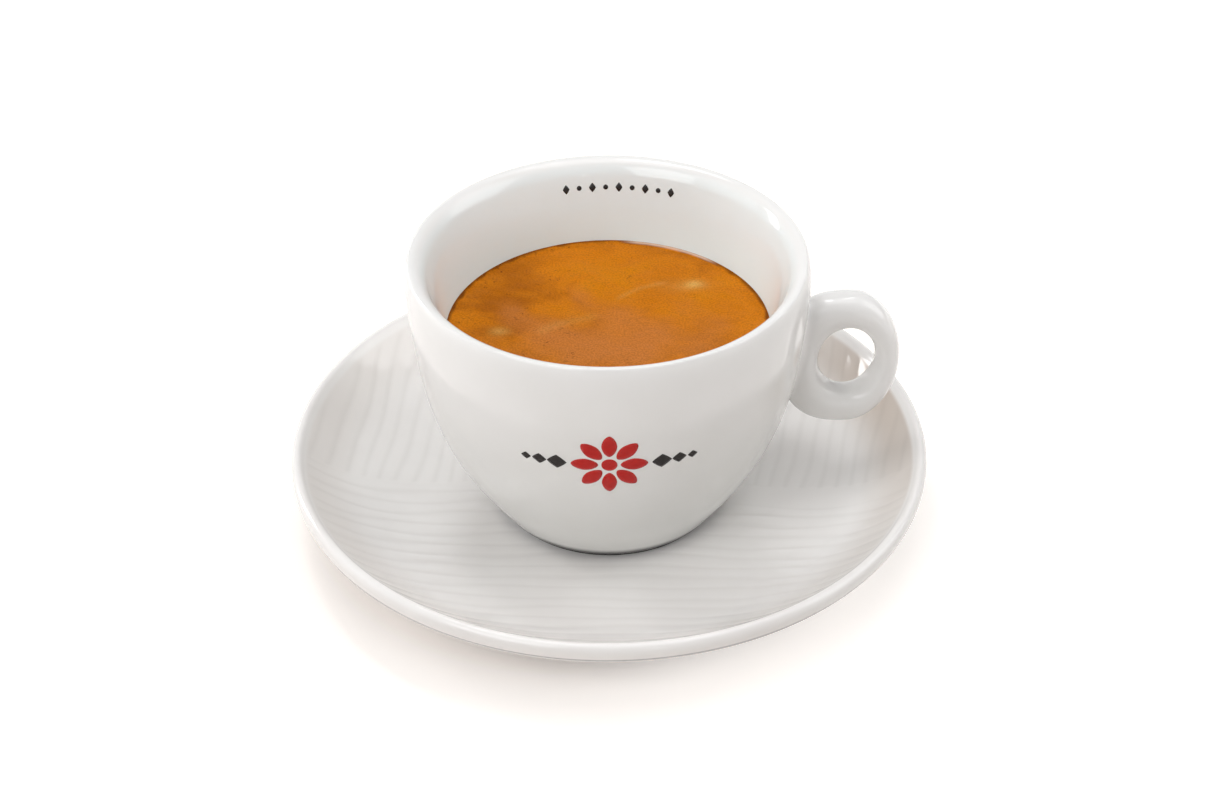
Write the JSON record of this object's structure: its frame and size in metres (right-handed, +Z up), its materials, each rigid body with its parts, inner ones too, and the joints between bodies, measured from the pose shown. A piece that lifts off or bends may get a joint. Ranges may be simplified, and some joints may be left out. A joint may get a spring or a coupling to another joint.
{
  "type": "cup of americano coffee on a saucer",
  "caption": "White porcelain cup with a ring handle, filled with crema-topped black coffee, standing on a ribbed coupe saucer with a rolled rim.",
  "frame": {"origin": "on the table, at the middle of the saucer's foot ring, on the upright middle line of cup and saucer", "axes": "+Z up; +X towards the cup's handle, which is turned 2 degrees from it towards +Y; -Y is the front that faces the drinker"},
  "size_m": [0.155, 0.155, 0.0726],
  "materials": {
    "saucer_glaze": "gloss",
    "cup_glaze": "gloss",
    "coffee": "wet gloss",
    "crema": "satin"
  },
  "bodies": {
    "root": {"saucer": "saucer_glaze", "cup": "cup_glaze", "coffee": "coffee", "crema": "crema"}
  },
  "joints": []
}
